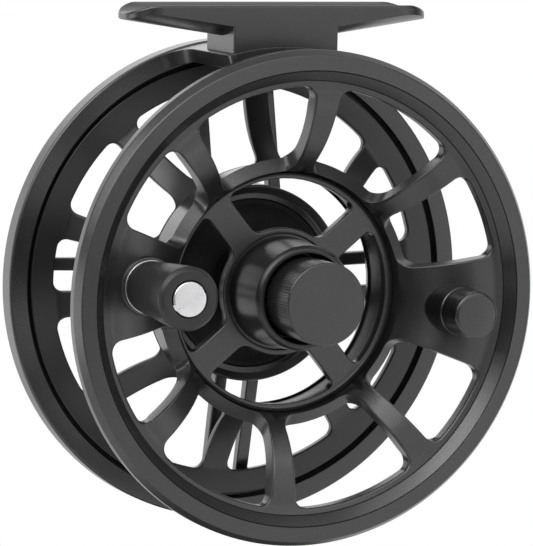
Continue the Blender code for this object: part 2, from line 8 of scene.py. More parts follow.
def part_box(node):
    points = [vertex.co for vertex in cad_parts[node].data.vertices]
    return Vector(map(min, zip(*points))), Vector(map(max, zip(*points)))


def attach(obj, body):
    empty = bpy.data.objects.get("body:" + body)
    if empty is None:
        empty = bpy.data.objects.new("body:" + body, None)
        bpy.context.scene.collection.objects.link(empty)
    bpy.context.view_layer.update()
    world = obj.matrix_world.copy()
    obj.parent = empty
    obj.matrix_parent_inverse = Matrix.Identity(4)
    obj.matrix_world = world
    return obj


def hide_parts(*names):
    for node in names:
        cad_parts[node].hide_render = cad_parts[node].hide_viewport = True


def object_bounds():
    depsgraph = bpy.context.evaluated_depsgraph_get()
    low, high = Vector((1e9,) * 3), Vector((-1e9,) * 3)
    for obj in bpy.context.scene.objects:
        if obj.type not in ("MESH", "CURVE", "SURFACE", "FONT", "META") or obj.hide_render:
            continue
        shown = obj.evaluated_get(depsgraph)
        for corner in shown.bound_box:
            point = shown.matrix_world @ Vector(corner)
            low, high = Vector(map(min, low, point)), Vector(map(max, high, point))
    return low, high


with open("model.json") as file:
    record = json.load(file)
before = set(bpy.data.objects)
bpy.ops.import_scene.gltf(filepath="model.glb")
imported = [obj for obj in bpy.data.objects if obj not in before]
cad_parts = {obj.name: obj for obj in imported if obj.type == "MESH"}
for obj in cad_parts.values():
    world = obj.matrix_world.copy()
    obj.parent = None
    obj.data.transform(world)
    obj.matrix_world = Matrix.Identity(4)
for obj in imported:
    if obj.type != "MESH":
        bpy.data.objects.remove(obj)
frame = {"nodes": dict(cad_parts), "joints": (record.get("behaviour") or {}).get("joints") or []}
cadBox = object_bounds()
print("frame loaded with", len(frame["nodes"]), "nodes")

# the reel's own coordinates are millimetres: radius from the axis, and depth from a plane just behind the
# rim's front face
mm = 0.001
rimFace = -1.5  # depth of the rim's front face
joints = {joint["name"]: joint for joint in frame["joints"]}
axisZ = joints["spool_spin"]["pos_m"][2]
handleSpot = joints["handle_spin"]["pos_m"]
handleReach = hypot(handleSpot[0], handleSpot[2] - axisZ) / mm
handleAt = (-handleReach, 0)  # on the spool before it is turned
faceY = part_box("spool_front_flange")[0].y - rimFace * mm
spoolTurn = radians(5.5)  # how far the spool is turned in the photograph
footFrame = Matrix.Diagonal((mm, mm, mm, 1))
reelFrame = Matrix.Translation((0, faceY, axisZ)) @ footFrame
spoolFrame = reelFrame @ Matrix.Rotation(spoolTurn, 4, "Y")


# finishes

noiseSpec = {"roughness": 0.55, "span": (0.3, 0.7), "grainDetail": 4.0, "cloudDetail": 2.0}


def newMaterial(name):
    material = bpy.data.materials.new(name)
    material.use_nodes = True
    tree = material.node_tree
    return material, tree, tree.nodes["Principled BSDF"]


def noiseNode(tree, scale, detail):
    place = tree.nodes.new("ShaderNodeTexCoord")
    noise = tree.nodes.new("ShaderNodeTexNoise")
    noise.inputs["Scale"].default_value = scale
    noise.inputs["Detail"].default_value = detail
    noise.inputs["Roughness"].default_value = noiseSpec["roughness"]
    tree.links.new(place.outputs["Object"], noise.inputs["Vector"])
    return noise.outputs["Fac"]


def rampNode(tree, source, low, high):
    ramp = tree.nodes.new("ShaderNodeValToRGB")
    for stop, position, colour in zip(ramp.color_ramp.elements, noiseSpec["span"], (low, high)):
        stop.position = position
        stop.color = (*colour, 1)
    tree.links.new(source, ramp.inputs["Fac"])
    return ramp.outputs["Color"]


def rangeNode(tree, source, low, high):
    span = tree.nodes.new("ShaderNodeMapRange")
    span.inputs["From Min"].default_value, span.inputs["From Max"].default_value = noiseSpec["span"]
    span.inputs["To Min"].default_value = low
    span.inputs["To Max"].default_value = high
    tree.links.new(source, span.inputs["Value"])
    return span.outputs["Result"]


def bumpNode(tree, source, strength, distance):
    bump = tree.nodes.new("ShaderNodeBump")
    bump.inputs["Strength"].default_value = strength
    bump.inputs["Distance"].default_value = distance
    tree.links.new(source, bump.inputs["Height"])
    return bump.outputs["Normal"]


def grainedFinish(name, look):
    # fine grain for roughness and bump, and a broad, faint cloud for colour
    material, tree, shader = newMaterial(name)
    grain = noiseNode(tree, look["grain"], noiseSpec["grainDetail"])
    cloud = noiseNode(tree, look["cloud"], noiseSpec["cloudDetail"])
    tree.links.new(rampNode(tree, cloud, look["dark"], look["light"]), shader.inputs["Base Color"])
    tree.links.new(rangeNode(tree, grain, *look["rough"]), shader.inputs["Roughness"])
    tree.links.new(bumpNode(tree, grain, look["bump"], look["height"]), shader.inputs["Normal"])
    shader.inputs["Metallic"].default_value = look["metal"]
    shader.inputs["Specular IOR Level"].default_value = look["specular"]
    return material


satinLook = {"grain": 5200, "cloud": 90, "dark": (0.0085, 0.0085, 0.009), "light": (0.012, 0.012, 0.0126),
             "rough": (0.26, 0.34), "bump": 0.22, "height": 0.00004, "metal": 0.0, "specular": 0.82}
# painted shade: the turned finish of the boss and rear web is a darker, less reflective copy of the satin
# anodising, because these parts lie in shade
turnedShadeLook = {"grain": 3800, "cloud": 120, "dark": (0.006, 0.006, 0.0063), "light": (0.009, 0.009, 0.0094),
              "rough": (0.29, 0.35), "bump": 0.03, "height": 0.00002, "metal": 0.0, "specular": 0.57}
glossLook = {"grain": 2600, "cloud": 140, "dark": (0.004, 0.004, 0.0042), "light": (0.006, 0.006, 0.0063),
             "rough": (0.26, 0.32), "bump": 0.03, "height": 0.00002, "metal": 0.0, "specular": 0.85}
handleLook = {"grain": 4200, "cloud": 150, "dark": (0.012, 0.012, 0.0125), "light": (0.017, 0.017, 0.0177),
              "rough": (0.34, 0.42), "bump": 0.15, "height": 0.00004, "metal": 0.0, "specular": 0.4}
steelLook = {"grain": 3000, "cloud": 200, "dark": (0.66, 0.66, 0.67), "light": (0.74, 0.74, 0.75),
             "rough": (0.26, 0.36), "bump": 0.08, "height": 0.00002, "metal": 1.0, "specular": 0.5}
brassLook = {"grain": 3000, "cloud": 160, "dark": (0.52, 0.39, 0.16), "light": (0.62, 0.48, 0.21),
             "rough": (0.28, 0.40), "bump": 0.08, "height": 0.00002, "metal": 1.0, "specular": 0.5}
carbonLook = {"grain": 2400, "cloud": 900, "dark": (0.018, 0.018, 0.019), "light": (0.036, 0.036, 0.038),
              "rough": (0.45, 0.60), "bump": 0.2, "height": 0.00004, "metal": 0.0, "specular": 0.4}
rubberLook = {"grain": 2800, "cloud": 200, "dark": (0.012, 0.012, 0.012), "light": (0.02, 0.02, 0.02),
              "rough": (0.70, 0.85), "bump": 0.2, "height": 0.00005, "metal": 0.0, "specular": 0.3}
oxideLook = {"grain": 3000, "cloud": 200, "dark": (0.03, 0.03, 0.032), "light": (0.05, 0.05, 0.052),
             "rough": (0.30, 0.42), "bump": 0.1, "height": 0.00002, "metal": 0.6, "specular": 0.5}
satin = grainedFinish("satin_anodising", satinLook)
turnedShadeBlack = grainedFinish("turned_black_painted_shade", turnedShadeLook)
gloss = grainedFinish("gloss_black", glossLook)
handleBlack = grainedFinish("handle_black", handleLook)
steel = grainedFinish("bright_steel", steelLook)
brass = grainedFinish("bearing_brass", brassLook)
carbon = grainedFinish("drag_carbon", carbonLook)
rubber = grainedFinish("seal_rubber", rubberLook)
oxide = grainedFinish("black_oxide", oxideLook)
print("finishes made")


# mesh helpers

mergeGap = 0.002  # vertices nearer than this become one
matchGap = 0.02  # how near a vertex has to lie to a named ring
touchGap = 0.001  # how near a vertex has to lie to a surface to be on it
roundSteps = 3  # facets of a rounded edge
sharpAngle = 32  # degrees past which an edge shades sharp
screwSharp = 25  # the same on a slotted screw head


def lerp(a, b, t):
    return a + (b - a) * t


def quarterTurn(steps):
    return [radians(90 * i / steps) for i in range(steps + 1)]


def curvePoints(start, pull, end, steps):
    # a bend that leaves its start towards the pull point and reaches its end from there
    start, pull, end = Vector(start), Vector(pull), Vector(end)
    points = []
    for i in range(steps + 1):
        t = i / steps
        points.append(tuple(start * (1 - t) ** 2 + pull * 2 * t * (1 - t) + end * t * t))
    return points


def depthAt(line, r):
    # depth on a section line at a radius; the line runs from the inside out
    if r <= line[0][0]:
        return line[0][1]
    for (r0, y0), (r1, y1) in zip(line, line[1:]):
        if r <= r1:
            return lerp(y0, y1, (r - r0) / (r1 - r0))
    return line[-1][1]


def newVerts(grown):
    return [item for item in grown["geom"] if isinstance(item, bmesh.types.BMVert)]


def mergeDoubles(bm):
    bmesh.ops.remove_doubles(bm, verts=bm.verts, dist=mergeGap)


def addPiece(name, bm, place, body, material, nodes=(), sharp=sharpAngle):
    mergeDoubles(bm)
    bmesh.ops.recalc_face_normals(bm, faces=bm.faces)
    bmesh.ops.transform(bm, matrix=place, verts=bm.verts)
    mesh = bpy.data.meshes.new(name)
    bm.to_mesh(mesh)
    bm.free()
    mesh.shade_smooth()
    mesh.set_sharp_from_angle(angle=radians(sharp))
    mesh.materials.append(material)
    piece = bpy.data.objects.new(name, mesh)
    bpy.context.scene.collection.objects.link(piece)
    flats = piece.modifiers.new("flats", "WEIGHTED_NORMAL")  # broad faces look flat between rounded edges
    flats.keep_sharp = True
    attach(piece, body)
    if nodes:
        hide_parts(*nodes)


def bevelEdges(bm, edges, width, segments=roundSteps):
    bmesh.ops.bevel(bm, geom=edges, offset=width, offset_type="OFFSET", segments=segments, profile=0.5,
                    affect="EDGES", clamp_overlap=True, material=-1)


def turnedPiece(spec):
    # spins a section of (radius, depth), closed or starting and ending on the axis, with rounded corners
    centreX, centreZ = spec.get("at", (0, 0))
    bm = bmesh.new()
    verts = [bm.verts.new((centreX + r, depth, centreZ)) for r, depth in spec["section"]]
    onAxis = spec["section"][0][0] == 0
    pairs = list(zip(verts, verts[1:]))
    if not onAxis:
        pairs.append((verts[-1], verts[0]))
    for pair in pairs:
        bm.edges.new(pair)
    corners = verts[1:-1] if onAxis else verts
    bmesh.ops.bevel(bm, geom=corners, offset=spec["rounding"], offset_type="OFFSET", segments=roundSteps,
                    profile=0.5, affect="VERTICES", clamp_overlap=True, material=-1)
    bmesh.ops.spin(bm, geom=list(bm.verts) + list(bm.edges), cent=(centreX, 0, centreZ), axis=(0, 1, 0),
                   angle=2 * pi, steps=spec["steps"], use_merge=True)
    return bm


def growLoop(bm, loop, points):
    # extrudes a closed loop of vertices to the next row of points
    edges = [bm.edges.get(pair) for pair in zip(loop, loop[1:] + loop[:1])]
    fresh = set(newVerts(bmesh.ops.extrude_edge_only(bm, edges=edges)))
    row = []
    for vert, point in zip(loop, points):
        twin = next(e.other_vert(vert) for e in vert.link_edges if e.other_vert(vert) in fresh)
        twin.co = point
        row.append(twin)
    return row


def loftRows(bm, rows):
    # a loop of edges at the first row, extruded through the others; gives the loops at both ends
    first = [bm.verts.new(point) for point in rows[0]]
    for pair in zip(first, first[1:] + first[:1]):
        bm.edges.new(pair)
    last = first
    for row in rows[1:]:
        last = growLoop(bm, last, row)
    return first, last


def ringEdges(bm, r, y):
    def onRing(vert):
        return abs(hypot(vert.co.x, vert.co.z) - r) < matchGap and abs(vert.co.y - y) < matchGap
    return [e for e in bm.edges if all(onRing(v) for v in e.verts)]


def growRings(bm, section):
    # extrudes the open ring at the section's first point through its other points
    edges = [e for e in ringEdges(bm, *section[0]) if e.is_boundary]
    for (r0, y0), (r1, y1) in zip(section, section[1:]):
        grown = bmesh.ops.extrude_edge_only(bm, edges=edges)
        bmesh.ops.scale(bm, vec=(r1 / r0, 1, r1 / r0), verts=newVerts(grown))
        bmesh.ops.translate(bm, vec=(0, y1 - y0, 0), verts=newVerts(grown))
        edges = [item for item in grown["geom"] if isinstance(item, bmesh.types.BMEdge)]


# windows: each has rounded corners and edges, and its sector of the web is meshed round it

meshSteps = {"corner": 5, "side": 12, "arc": 12, "web": 7, "edge": 4, "wall": 3}


def spokeSide(degrees, halfWidth, sign):
    return lambda r, inset: radians(degrees) + sign * asin((halfWidth(r) + inset) / r)


def radialSide(degrees, sign):
    return lambda r, inset: radians(degrees) + sign * inset / r


def windowSides(window, rIn, rOut, grow):
    # the outline as four sides of (radius, angle), which meet in the middle of the corners
    rIn, rOut = rIn - grow, rOut + grow
    corner = window["corner"] + grow
    turns = quarterTurn(2 * meshSteps["corner"])
    early, late = turns[:meshSteps["corner"] + 1], turns[meshSteps["corner"]:]

    def inner(t):
        return (rIn + corner * (1 - cos(t)), corner * (1 - sin(t)))

    def outer(t):
        return (rOut - corner * (1 - sin(t)), corner * (1 - cos(t)))

    low, high = [inner(t) for t in late], [outer(t) for t in early]
    parts = meshSteps["side"]
    straight = [(lerp(low[-1][0], high[0][0], i / parts), 0) for i in range(1, parts)]
    side = low + straight + high
    top, bottom = [outer(t) for t in late], [inner(t) for t in early]

    def near(point):
        return (point[0], window["start"](point[0], point[1] - grow))

    def far(point):
        return (point[0], window["stop"](point[0], point[1] - grow))

    def arc(a, b):
        return [(a[0], lerp(a[1], b[1], i / meshSteps["arc"])) for i in range(1, meshSteps["arc"])]

    nearTop, farTop = [near(p) for p in top], [far(p) for p in reversed(top)]
    farBottom, nearBottom = [far(p) for p in reversed(bottom)], [near(p) for p in bottom]
    return [[near(p) for p in side],
            nearTop + arc(nearTop[-1], farTop[0]) + farTop,
            [far(p) for p in reversed(side)],
            farBottom + arc(farBottom[-1], nearBottom[0]) + nearBottom]


def sectorSides(window, rLow, rHigh, sides):
    # the edge of the window's sector, with as many points on each side
    first, last = radians(window["from"]), radians(window["to"])
    corners = [(rLow, first), (rHigh, first), (rHigh, last), (rLow, last)]
    edge = []
    for side, p, q in zip(sides, corners, corners[1:] + corners[:1]):
        parts = len(side) - 1
        edge.append([(lerp(p[0], q[0], i / parts), lerp(p[1], q[1], i / parts)) for i in range(parts + 1)])
    return edge


def closedLoop(sides):
    return [point for side in sides for point in side[:-1]]


def solidPoint(polar, depth):
    r, angle = polar
    return Vector((r * cos(angle), depth, r * sin(angle)))


def faceRows(window, web, face, sign):
    # rows on one face of the web, from the sector's edge to the window and round the window's edge
    line, edge, rIn = web[face], web["edge"], window[face + "In"]
    sides = windowSides(window, rIn, window["rOut"], edge)
    border = closedLoop(sectorSides(window, *web[face + "Reach"], sides))
    outline = closedLoop(sides)
    rows = []
    for k in range(meshSteps["web"]):
        share = k / meshSteps["web"]
        row = [(lerp(p[0], q[0], share), lerp(p[1], q[1], share)) for p, q in zip(border, outline)]
        rows.append([solidPoint(p, depthAt(line, p[0])) for p in row])
    for t in quarterTurn(meshSteps["edge"]):
        row = closedLoop(windowSides(window, rIn, window["rOut"], edge * (1 - sin(t))))
        rows.append([solidPoint(p, depthAt(line, p[0]) + sign * edge * (1 - cos(t))) for p in row])
    return rows


def addWindow(bm, window, web):
    # the front's rows, then the window's wall, then the back's rows in reverse
    front, back = faceRows(window, web, "front", 1), faceRows(window, web, "back", -1)
    parts = meshSteps["wall"]
    wall = [[p.lerp(q, i / parts) for p, q in zip(front[-1], back[-1])] for i in range(1, parts)]
    loftRows(bm, front + wall + back[::-1])


def spokeWindows(spec):
    # windows between the spokes, of which those at 0 and 180 degrees are wide: wide is half their angle, and
    # wideMiddle half the angle that is left in them for a small window
    pitch = 360 / spec["count"]
    for k in range(spec["count"]):
        first, second = k * pitch, (k + 1) * pitch
        wideFirst = k % (spec["count"] // 2) == 0
        wideSecond = (k + 1) % (spec["count"] // 2) == 0
        start = radialSide(first + spec["wide"], 1) if wideFirst else spokeSide(first, spec["half"], 1)
        stop = radialSide(second - spec["wide"], -1) if wideSecond else spokeSide(second, spec["half"], -1)
        yield {"start": start, "stop": stop, "corner": spec["corner"], "frontIn": spec["frontIn"],
               "backIn": spec["backIn"], "rOut": spec["rOut"],
               "from": first + (spec["wideMiddle"] if wideFirst else 0),
               "to": second - (spec["wideMiddle"] if wideSecond else 0)}


# spool front: rim, dished bowl with eight spokes, and the drum behind it

frontSpokes = {"root": 25, "tip": 37, "rootHalf": 1.75, "tipHalf": 2.45}


def frontHalfWidth(r):
    s = frontSpokes
    return lerp(s["rootHalf"], s["tipHalf"], (r - s["root"]) / (s["tip"] - s["root"]))


frontSpec = {"count": 8, "half": frontHalfWidth, "wide": 16.0, "wideMiddle": 0,
             "corner": 2.4, "frontIn": 22.9, "backIn": 25.1, "rOut": 39.15}
bowlLine = curvePoints((38.4, 1.0), (29.45, 1.0), (23.4, 8.9), steps=24)
bowlBack = curvePoints((25.5, 11.6), (29.2, 5.9), (36.0, 4.9), steps=16)
drumFront = (22.3, 12.7)
drumRear = (23.9, 11.0)
bowlEdge = (40.2, 0.5)
rimRear = 3.3  # depth of the flat behind the rim
frontWeb = {"edge": 0.35,
            "front": [drumFront, (22.8, 9.5)] + bowlLine[::-1] + [bowlEdge],
            "back": [drumRear] + bowlBack + [(39.4, rimRear), (44, rimRear)],
            "frontReach": (22.45, bowlEdge[0]), "backReach": (drumRear[0], bowlEdge[0])}
drumSection = [drumFront, (22.5, 21.9), (22.95, 21.9), drumRear]
rimLip = (45.0, -1.16)
rimSide = (46.0, 0.4)
rimBack = (46.0, 2.3)
rimSpec = {"section": [bowlEdge, (40.32, 0.58), (40.42, 0.29), (42.06, -1.4), (42.16, -1.27), (42.3, -1.48),
                       rimLip, rimSide, rimBack, (44.0, rimRear), (bowlEdge[0], rimRear)],
           "rounded": ((rimLip, 0.18), (rimSide, 0.18), (rimBack, 0.25))}
padSpec = {"at": handleAt, "section": [(2.4, 1.0), (5.4, 1.0), (5.4, 4.0), (2.4, 4.0)],
           "steps": 96, "rounding": 0.25,
           "seatFrom": 3, "sink": 0.6}  # what lies deeper than seatFrom sinks into the bowl


def seatOnBowl(verts, sink):
    for v in verts:
        v.co.y = depthAt(frontWeb["front"], hypot(v.co.x, v.co.z)) + sink


def makeSpoolFront():
    bm = bmesh.new()
    for window in spokeWindows(frontSpec):
        addWindow(bm, window, frontWeb)
    mergeDoubles(bm)
    growRings(bm, rimSpec["section"])
    inside = frontWeb["frontReach"][0]
    growRings(bm, [(inside, depthAt(frontWeb["front"], inside))] + drumSection)
    mergeDoubles(bm)
    for corner, width in rimSpec["rounded"]:
        bevelEdges(bm, ringEdges(bm, *corner), width)
    return bm


def makeHandlePad():
    bm = turnedPiece(padSpec)
    seatOnBowl([v for v in bm.verts if v.co.y > padSpec["seatFrom"]], padSpec["sink"])
    return bm


addPiece("spool_front", makeSpoolFront(), spoolFrame, "spool", satin,
         ("spool_front_flange", "spool_arbor"))
addPiece("handle_pad", makeHandlePad(), spoolFrame, "spool", satin)
print("spool front made")


# spool rear: dished web with spokes, and a small window in each wide spoke

rearSpec = {"count": 8, "half": lambda r: 2.45, "wide": 16.2, "wideMiddle": 12.0,
            "corner": 2.0, "frontIn": 22.95, "backIn": 22.5, "rOut": 37.1}
smallSpec = {"middles": (0, 180), "halfAngle": 7.9,
             "corner": 1.8, "frontIn": 28.5, "backIn": 28.5, "rOut": 37.1}
rearChannel = curvePoints((36.4, 33.9), (26.25, 29.7), (23.0, 22.3), steps=24)
rearDish = curvePoints((22.9, 24.3), (29.0, 33.8), (37.2, 35.6), steps=24)
rearBore = [(22.5, 21.3), (22.15, 21.9)]
rearRim = [(41.6, 34.1), (41.6, 35.9)]
rearRimRound = 0.25
rearReach = 38.6  # radius at which the windows' sectors end
rearWeb = {"edge": 0.3,
           "front": [rearBore[0]] + rearChannel[::-1] + [rearRim[0]],
           "back": [rearBore[1], (22.5, 23.2)] + rearDish + [rearRim[1]],
           "frontReach": (rearBore[0][0], rearReach), "backReach": (rearBore[1][0], rearReach)}


def makeSpoolRear():
    bm = bmesh.new()
    windows = list(spokeWindows(rearSpec))
    half, sector = smallSpec["halfAngle"], rearSpec["wideMiddle"]
    for middle in smallSpec["middles"]:
        windows.append({**smallSpec, "from": middle - sector, "to": middle + sector,
                        "start": radialSide(middle - half, 1), "stop": radialSide(middle + half, -1)})
    for window in windows:
        addWindow(bm, window, rearWeb)
    mergeDoubles(bm)
    front, back = ((rearReach, depthAt(rearWeb[face], rearReach)) for face in ("front", "back"))
    growRings(bm, [front] + rearRim + [back])
    growRings(bm, rearBore)
    mergeDoubles(bm)
    for corner in rearRim:
        bevelEdges(bm, ringEdges(bm, *corner), rearRimRound)
    return bm


# the rear web is anodised like the front; its darker turned finish is painted shade
addPiece("spool_rear", makeSpoolRear(), spoolFrame, "spool", turnedShadeBlack,
         ("spool_rear_flange",))
print("spool rear made")


# hub: X of four spokes inside the drum, and the turned boss

hubSpec = {"count": 4, "half": lambda r: 2.65, "corner": 1.6, "frontIn": 11.9, "backIn": 11.9, "rOut": 21.2}
hubFront = 12.0
hubBack = 14.3
hubReach = (11.3, 21.65)
hubWeb = {"edge": 0.3,
          "front": [(10.5, hubFront), (22.0, hubFront)],
          "back": [(8.0, hubBack), (22.0, hubBack)],
          "frontReach": hubReach, "backReach": hubReach}
hubOuter = [(hubReach[1], hubFront), (21.95, 11.9), (22.2, 11.6), (22.35, 11.1), (22.4, hubBack),
            (hubReach[1], hubBack)]
hubInner = [(hubReach[0], hubFront), (11.0, 12.06), (10.85, 12.25), (10.8, 12.6), (8.2, 12.6), (8.2, hubBack),
            (hubReach[0], hubBack)]
bossSpec = {"section": [(10.4, 12.7), (9.8, 1.5), (9.2, 0.7), (8.4, 0.7), (8.4, 9.0), (5.3, 9.0), (5.3, 19),
                        (6.6, 19), (6.6, 25.9), (8.2, 25.9), (8.2, 12.7)],
            "steps": 160, "rounding": 0.22}


def makeHubWeb():
    bm = bmesh.new()
    pitch = 360 / hubSpec["count"]
    for k in range(hubSpec["count"]):
        first, second = (k + 0.5) * pitch, (k + 1.5) * pitch
        start, stop = spokeSide(first, hubSpec["half"], 1), spokeSide(second, hubSpec["half"], -1)
        addWindow(bm, {**hubSpec, "start": start, "stop": stop, "from": first, "to": second}, hubWeb)
    mergeDoubles(bm)
    for section in (hubOuter, hubInner):
        growRings(bm, section)
    return bm


addPiece("hub_web", makeHubWeb(), spoolFrame, "spool", satin, ("spool_hub",))
addPiece("hub_boss", turnedPiece(bossSpec), spoolFrame, "spool", turnedShadeBlack)
print("hub made")


# handle, its washer and slotted screw, and the counterweight opposite

screwTop = -18.5
gripSpec = {"at": handleAt,
            "section": [(3.4, -18.2), (5.1, -18.2), (5.8, -17.4), (5.7, -14), (5.0, -3), (4.87, -0.4),
                        (4.5, 0), (3.1, 0), (3.1, -16.4), (3.4, -16.4)],
            "steps": 128, "rounding": 0.2}
collarSpec = {"at": handleAt, "section": [(2.4, 0.3), (4.95, 0.3), (4.95, 0.95), (2.4, 0.95)],
              "steps": 96, "rounding": 0.12}
screwSpec = {"at": handleAt,
             "section": [(0, screwTop), (3.0, screwTop), (3.2, -18.3), (3.2, -16.7), (2.0, -16.7), (2.0, 6.3),
                         (0, 6.3)],
             "steps": 96, "rounding": 0.08,
             "slot": {"top": screwTop, "long": 12.8, "wide": 1.2, "deep": 0.8, "turn": 35}}
slotRound = {"width": 0.1, "segments": 2}
weightSpec = {"at": (handleReach, 0),
              "section": [(0, -7.3), (3.8, -7.3), (4.25, -7.05), (4.4, -6.6), (4.4, -1.3), (4.65, -1.1),
                          (4.65, 3.5), (4.85, 4.5), (0, 4.5)],
              "steps": 128, "rounding": 0.15,
              "seat": ((3, 4, -0.2), (4, 5, 0.15))}  # what lies between two depths, and how far it sinks


def cutSlot(bm, spec):
    # a straight slot across a screw head: a box is taken out of the head's face
    slot = spec["slot"]
    centreX, centreZ = spec.get("at", (0, 0))
    head = bpy.data.meshes.new("slotHead")
    bmesh.ops.recalc_face_normals(bm, faces=bm.faces)
    bm.to_mesh(head)
    box = bmesh.new()
    bmesh.ops.create_cube(box, size=1)
    size = Matrix.Diagonal((slot["long"], 2 * slot["deep"], slot["wide"], 1))
    turn = Matrix.Rotation(radians(-slot["turn"]), 4, "Y")
    place = Matrix.Translation((centreX, slot["top"], centreZ))
    bmesh.ops.transform(box, matrix=place @ turn @ size, verts=box.verts)
    bevelEdges(box, box.edges, **slotRound)
    cutter = bpy.data.meshes.new("slotBox")
    box.to_mesh(cutter)
    box.free()
    headObject = bpy.data.objects.new("slotHead", head)
    boxObject = bpy.data.objects.new("slotBox", cutter)
    for item in (headObject, boxObject):
        bpy.context.scene.collection.objects.link(item)
    boolean = headObject.modifiers.new("slot", "BOOLEAN")
    boolean.operation = "DIFFERENCE"
    boolean.object = boxObject
    cut = headObject.evaluated_get(bpy.context.evaluated_depsgraph_get()).to_mesh()
    bm.clear()
    bm.from_mesh(cut)
    for item in (headObject, boxObject):
        bpy.data.objects.remove(item)


def makeSlottedScrew(spec):
    bm = turnedPiece(spec)
    cutSlot(bm, spec)
    return bm


def makeWeight():
    bm = turnedPiece(weightSpec)
    bands = [([v for v in bm.verts if low < v.co.y < high], sink) for low, high, sink in weightSpec["seat"]]
    for verts, sink in bands:
        seatOnBowl(verts, sink)
    return bm


addPiece("handle_grip", turnedPiece(gripSpec), spoolFrame, "handle", handleBlack,
         ("handle_knob",))
addPiece("handle_collar", turnedPiece(collarSpec), spoolFrame, "spool", steel,
         ("handle_washer",))
addPiece("handle_slot_screw", makeSlottedScrew(screwSpec), spoolFrame, "spool", steel,
         ("handle_screw",), screwSharp)
addPiece("counter_post", makeWeight(), spoolFrame, "spool", gloss, ("counterweight",))
print("handle and counterweight made")


# release knob: a knurled cap in the hub's boss

knurlSpec = {"ridges": 92, "depth": 0.12, "radius": 7.7}
capSpec = {"section": [(0, -8.2), (7.5, -8.2), (knurlSpec["radius"], -8.0), (knurlSpec["radius"], 8.6),
                       (2.7, 8.6), (2.7, -5), (0, -5)],
           "steps": 2 * knurlSpec["ridges"], "rounding": 0.12}


def makeReleaseKnob():
    # every second line of vertices round the cap is sunk
    bm = turnedPiece(capSpec)
    pitch = 2 * pi / capSpec["steps"]
    sunk = 1 - knurlSpec["depth"] / knurlSpec["radius"]
    for v in [v for v in bm.verts if hypot(v.co.x, v.co.z) > knurlSpec["radius"] - touchGap]:
        turn = round(Vector((v.co.x, v.co.z)).angle_signed(Vector((1, 0))) / pitch)
        if turn % 2:
            bmesh.ops.scale(bm, vec=(sunk, 1, sunk), verts=[v])
    return bm


addPiece("release_cap", makeReleaseKnob(), reelFrame, "release_knob", satin,
         ("release_knob",))
print("release knob made")


# frame: ring, bridge, and the back with its cup and slotted arms

hoopSpec = {"section": [(45.7, 33.6), (46, 33.9), (46, 37.6), (44.6, 39.2), (40.2, 39.2), (40.2, 37.2),
                        (42.45, 36.8), (42.45, 33.6)],
            "steps": 256, "rounding": 0.15}
bridgeSpec = {"half": 11.7, "front": 11.6, "corner": 1.2, "fillet": 5.0, "ring": 33.6, "back": 35.9,
              "top": 45.7, "under": 43.0, "strip": 1.2, "arc": 12, "rounding": 0.35, "roundPast": 60}
cupSpec = {"section": [(18.45, 25.8), (18.7, 26.1), (18.7, 31.4), (17.7, 33.8), (15.6, 36.8), (13.4, 39.0),
                       (12.4, 39.6), (6.0, 39.6), (6.0, 43.0), (3.3, 43.0), (3.3, 38.2), (13.0, 38.2),
                       (14.1, 36.8), (14.4, 34.6), (16.0, 31.8), (16.0, 26.5), (17.1, 26.5)],
           "steps": 160, "rounding": 0.25}
armSpec = {"half": 1.22, "rounding": 0.3,
           "spacing": {0: 3.3, 90: 6.9, 180: 3.3, 270: 3.3},  # at each angle, from the middle to a bar
           "root": (17.0, 31.4, 34.0), "end": (40.6, 37.3, 39.2)}  # radius, front and back


def bridgeOutline():
    b = bridgeSpec
    turns = quarterTurn(b["arc"])
    side = [(b["half"] - b["corner"] * (1 - sin(t)), b["front"] + b["corner"] * (1 - cos(t))) for t in turns]
    side += [(b["half"] + b["fillet"] * (1 - cos(t)), b["ring"] - b["fillet"] * (1 - sin(t))) for t in turns]
    side.append((b["half"] + b["fillet"], b["back"]))
    return side + [(-x, y) for x, y in reversed(side)]


def makeBridge():
    # the plan is sliced in strips, wrapped on the ring's cylinder and thickened inwards
    b = bridgeSpec
    bm = bmesh.new()
    bm.faces.new([bm.verts.new((x, y, 0)) for x, y in bridgeOutline()])
    reach = b["half"] + b["fillet"]
    strips = int(2 * reach / b["strip"])
    for i in range(1, strips):
        everything = list(bm.verts) + list(bm.edges) + list(bm.faces)
        cut = (lerp(-reach, reach, i / strips), 0, 0)
        bmesh.ops.bisect_plane(bm, geom=everything, plane_co=cut, plane_no=(1, 0, 0))
    for v in bm.verts:
        v.co.z = sqrt(b["top"] ** 2 - v.co.x ** 2)
    grown = bmesh.ops.extrude_face_region(bm, geom=list(bm.faces), use_keep_orig=True)
    inwards = b["under"] / b["top"]
    bmesh.ops.scale(bm, vec=(inwards, 1, inwards), verts=newVerts(grown))
    bmesh.ops.recalc_face_normals(bm, faces=bm.faces)
    paired = [e for e in bm.edges if len(e.link_faces) == 2]
    bevelEdges(bm, [e for e in paired if e.calc_face_angle() > radians(b["roundPast"])], b["rounding"])
    return bm


def addArm(bm, degrees, offset):
    # one bar of a slotted arm: a box drawn out from the cup to the ring, with its long edges rounded
    half = armSpec["half"]
    fresh = bmesh.ops.create_cube(bm, size=1)["verts"]
    drawn = [e for e in bm.edges if e.verts[0] in fresh and e.verts[0].co.x * e.verts[1].co.x < 0]
    for v in fresh:
        r, front, back = armSpec["end"] if v.co.x > 0 else armSpec["root"]
        reach = sqrt(r ** 2 - (abs(offset) + half) ** 2)
        v.co = Vector((reach, back if v.co.y > 0 else front, offset + (half if v.co.z > 0 else -half)))
    bmesh.ops.rotate(bm, cent=(0, 0, 0), matrix=Matrix.Rotation(radians(-degrees), 3, "Y"), verts=fresh)
    bevelEdges(bm, drawn, armSpec["rounding"])


def makeFrameBack():
    bm = turnedPiece(cupSpec)
    for degrees, spacing in armSpec["spacing"].items():
        for side in (-1, 1):
            addArm(bm, degrees, side * spacing)
    return bm


